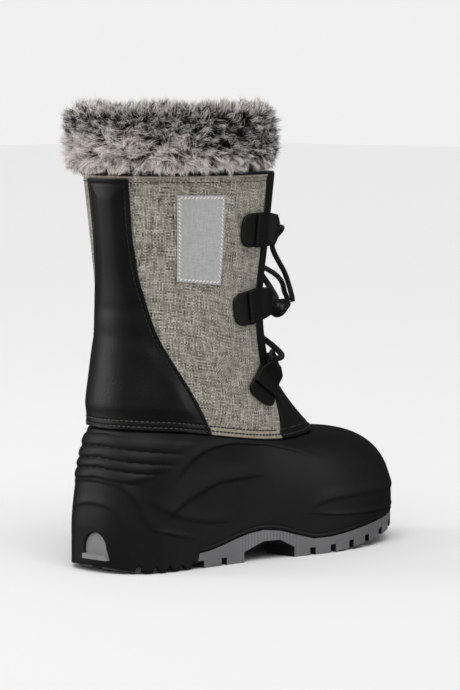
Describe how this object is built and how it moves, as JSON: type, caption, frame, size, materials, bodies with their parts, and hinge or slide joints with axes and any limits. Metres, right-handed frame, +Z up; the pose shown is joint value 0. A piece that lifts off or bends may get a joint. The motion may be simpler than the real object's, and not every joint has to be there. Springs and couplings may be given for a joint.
{
  "type": "child's snow boot",
  "caption": "Child's right snow boot: rubber foot shell on a lugged sole, cloth shaft with leather backstay, fur collar, lace tabs and a cord lace with a toggle.",
  "frame": {"origin": "on the floor under the middle of the heel", "axes": "+X to the toe, -Y to the outer side of the right foot, +Z up"},
  "size_m": [0.2295, 0.1055, 0.2557],
  "materials": {
    "black_rubber": "matte moulded rubber, lightly textured",
    "grey_rubber": "matte moulded rubber",
    "black_leather": "coated leather, satin",
    "melange_cloth": "heathered woven cloth",
    "felt": "felted insole",
    "silver_patch": "metallic grey coated cloth, bare",
    "black_cord": "braided round cord",
    "black_plastic": "moulded, semi matte",
    "frosted_fur": "deep pile fur with frosted tips"
  },
  "bodies": {
    "root": {"shell": "black_rubber", "outsole": "grey_rubber", "heel_insert": "grey_rubber", "insole": "felt", "shaft": "melange_cloth", "backstay": "black_leather", "saddle": "black_leather", "tongue": "melange_cloth", "side_patch": "silver_patch", "binding_lateral": "black_leather", "binding_medial": "black_leather", "lace_crossings": "black_cord", "lace_end_lateral": "black_cord", "lace_end_medial": "black_cord", "toggle": "black_plastic", "fur_collar": "frosted_fur", "fur_tongue": "frosted_fur", "tab_lateral_1": "black_leather", "ring_lateral_1": "black_plastic", "tab_lateral_2": "black_leather", "ring_lateral_2": "black_plastic", "tab_lateral_3": "black_leather", "ring_lateral_3": "black_plastic", "tab_medial_1": "black_leather", "ring_medial_1": "black_plastic", "tab_medial_2": "black_leather", "ring_medial_2": "black_plastic", "tab_medial_3": "black_leather", "ring_medial_3": "black_plastic"}
  },
  "joints": []
}
